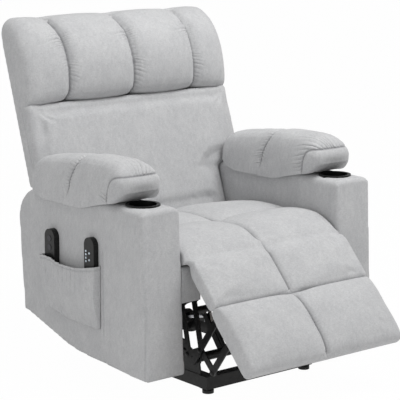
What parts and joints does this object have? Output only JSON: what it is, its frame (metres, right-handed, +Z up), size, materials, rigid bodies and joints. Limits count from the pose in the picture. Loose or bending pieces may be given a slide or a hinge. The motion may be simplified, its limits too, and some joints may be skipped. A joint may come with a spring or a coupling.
{
  "type": "lift recliner chair",
  "caption": "Upholstered power lift recliner: padded back, wide arms with cup holders and side pockets, folding footrest and a tilting lift base.",
  "frame": {"origin": "centre of the bounding box at floor level, in the pose shown: upright back, footrest half open", "axes": "+X to the sitter's left, +Y to the rear of the chair (it faces -Y), +Z up from the floor"},
  "size_m": [0.9812, 1.1426, 1.093],
  "materials": {
    "black_steel": "satin",
    "zinc_steel": "satin",
    "black_plastic": "matte",
    "plywood": "matte",
    "chenille": "matte",
    "key_grey": "matte",
    "key_white": "matte"
  },
  "bodies": {
    "base": {"base_cross_rails": "black_steel", "base_side_rails": "black_steel", "base_end_caps": "black_plastic", "base_feet": "black_plastic", "base_lift_plates": "black_steel", "lift_bracket": "black_steel", "lift_motor": "black_plastic", "control_box": "black_plastic"},
    "lift_front": {"front_lift_links": "black_steel"},
    "lift_rear": {"rear_lift_links": "black_steel"},
    "lift_push_rod": {"lift_rod": "zinc_steel"},
    "chassis": {"side_plates": "black_steel", "chassis_cross_tube": "black_steel", "seat_side_rails": "plywood", "seat_cross_rails": "plywood", "seat_springs": "zinc_steel", "seat_front_cover": "chenille", "seat_cushion": "chenille", "arm_right": "chenille", "arm_left": "chenille", "arm_pad_right": "chenille", "arm_pad_left": "chenille", "cup_holder_right": "black_plastic", "cup_holder_left": "black_plastic", "pocket_right": "chenille", "pocket_left": "chenille", "rear_cover": "chenille", "recline_motor": "black_plastic", "back_hinge_plates": "black_steel"},
    "back": {"back_arms": "black_steel", "back_frame": "plywood", "back_shell": "chenille", "back_cushion": "chenille", "head_cushion": "chenille"},
    "footrest_drive": {"drive_links": "black_steel"},
    "footrest_swing": {"swing_links": "black_steel"},
    "footrest_carrier": {"carrier_links": "black_steel"},
    "footrest_lower": {"lower_links": "black_steel"},
    "footrest": {"foot_brackets": "black_steel", "foot_board": "plywood", "foot_pad": "chenille"},
    "calf_flap": {"calf_pad": "chenille"},
    "recline_push_rod": {"recline_rod": "zinc_steel"},
    "lift_control": {"lift_handset": "black_plastic"},
    "lift_up_key": {"lift_up_button": "key_grey"},
    "lift_down_key": {"lift_down_button": "key_grey"},
    "massage_control": {"massage_handset": "black_plastic"},
    "massage_key_1": {"massage_button_1": "key_white"},
    "massage_key_2": {"massage_button_2": "key_white"},
    "massage_key_3": {"massage_button_3": "key_white"},
    "massage_key_4": {"massage_button_4": "key_white"},
    "massage_key_5": {"massage_button_5": "key_white"},
    "massage_key_6": {"massage_button_6": "key_white"}
  },
  "joints": [
    {"name": "lift", "type": "hinge", "parent": "base", "child": "lift_front", "pos_m": [0, -0.202, 0.1], "axis": [1, 0, 0], "range_deg": [0, 50]},
    {"name": "lift_tilt", "type": "hinge", "parent": "lift_front", "child": "chassis", "pos_m": [0, -0.002, 0.115], "axis": [-1, 0, 0], "range_deg": [0, 26.36]},
    {"name": "lift_guide", "type": "hinge", "parent": "base", "child": "lift_rear", "pos_m": [0, -0.1477, 0.1291], "axis": [1, 0, 0], "range_deg": [0, 39.19]},
    {"name": "lift_push", "type": "slide", "parent": "base", "child": "lift_push_rod", "axis": [0, -0.9724, 0.2334], "range_m": [0, 0.10565]},
    {"name": "recline", "type": "hinge", "parent": "chassis", "child": "back", "pos_m": [0, 0.318, 0.4], "axis": [-1, 0, 0], "range_deg": [0, 30]},
    {"name": "footrest_swing_out", "type": "hinge", "parent": "chassis", "child": "footrest_drive", "pos_m": [0, -0.213, 0.3], "axis": [-1, 0, 0], "range_deg": [-40, 48]},
    {"name": "footrest_swing_link", "type": "hinge", "parent": "chassis", "child": "footrest_swing", "pos_m": [0, -0.155, 0.276], "axis": [-1, 0, 0], "range_deg": [-40, 48]},
    {"name": "footrest_cross", "type": "hinge", "parent": "footrest_drive", "child": "footrest_carrier", "pos_m": [0, -0.24994, 0.14001], "axis": [-1, 0, 0], "range_deg": [-48, 40]},
    {"name": "footrest_elbow", "type": "hinge", "parent": "footrest_drive", "child": "footrest_lower", "pos_m": [0, -0.30991, 0.08408], "axis": [-1, 0, 0], "range_deg": [-48, 40]},
    {"name": "footrest_tip", "type": "hinge", "parent": "footrest_carrier", "child": "footrest", "pos_m": [0, -0.35891, 0.29], "axis": [-1, 0, 0], "range_deg": [-40, 48]},
    {"name": "calf_fold", "type": "hinge", "parent": "chassis", "child": "calf_flap", "pos_m": [0, -0.32198, 0.44999], "axis": [-1, 0, 0], "range_deg": [-40, 48], "deforming": ["calf_pad"]},
    {"name": "footrest_push", "type": "slide", "parent": "chassis", "child": "recline_push_rod", "axis": [0, -0.9903, -0.1392], "range_m": [-0.06144, 0.07372]},
    {"name": "lift_control_pull", "type": "slide", "parent": "chassis", "child": "lift_control", "axis": [0, 0, 1], "range_m": [0, 0.07]},
    {"name": "massage_control_pull", "type": "slide", "parent": "chassis", "child": "massage_control", "axis": [0, 0, 1], "range_m": [0, 0.07]},
    {"name": "lift_up_press", "type": "slide", "parent": "lift_control", "child": "lift_up_key", "axis": [1, 0, 0], "range_m": [0, 0.001], "stiffness_N_per_m": 300},
    {"name": "lift_down_press", "type": "slide", "parent": "lift_control", "child": "lift_down_key", "axis": [1, 0, 0], "range_m": [0, 0.001], "stiffness_N_per_m": 300},
    {"name": "massage_press_1", "type": "slide", "parent": "massage_control", "child": "massage_key_1", "axis": [1, 0, 0], "range_m": [0, 0.001], "stiffness_N_per_m": 200},
    {"name": "massage_press_2", "type": "slide", "parent": "massage_control", "child": "massage_key_2", "axis": [1, 0, 0], "range_m": [0, 0.001], "stiffness_N_per_m": 200},
    {"name": "massage_press_3", "type": "slide", "parent": "massage_control", "child": "massage_key_3", "axis": [1, 0, 0], "range_m": [0, 0.001], "stiffness_N_per_m": 200},
    {"name": "massage_press_4", "type": "slide", "parent": "massage_control", "child": "massage_key_4", "axis": [1, 0, 0], "range_m": [0, 0.001], "stiffness_N_per_m": 200},
    {"name": "massage_press_5", "type": "slide", "parent": "massage_control", "child": "massage_key_5", "axis": [1, 0, 0], "range_m": [0, 0.001], "stiffness_N_per_m": 200},
    {"name": "massage_press_6", "type": "slide", "parent": "massage_control", "child": "massage_key_6", "axis": [1, 0, 0], "range_m": [0, 0.001], "stiffness_N_per_m": 200}
  ],
  "couplings": [
    {"joint": "lift_tilt", "follows": "lift", "ratio": 0.5273},
    {"joint": "lift_guide", "follows": "lift", "ratio": 0.7838},
    {"joint": "lift_push", "follows": "lift", "m_per_rad": 0.12107},
    {"joint": "footrest_swing_link", "follows": "footrest_swing_out", "ratio": 1},
    {"joint": "footrest_cross", "follows": "footrest_swing_out", "ratio": -1},
    {"joint": "footrest_elbow", "follows": "footrest_swing_out", "ratio": -1},
    {"joint": "footrest_tip", "follows": "footrest_swing_out", "ratio": 1},
    {"joint": "calf_fold", "follows": "footrest_swing_out", "ratio": 1},
    {"joint": "footrest_push", "follows": "footrest_swing_out", "m_per_rad": 0.088}
  ]
}
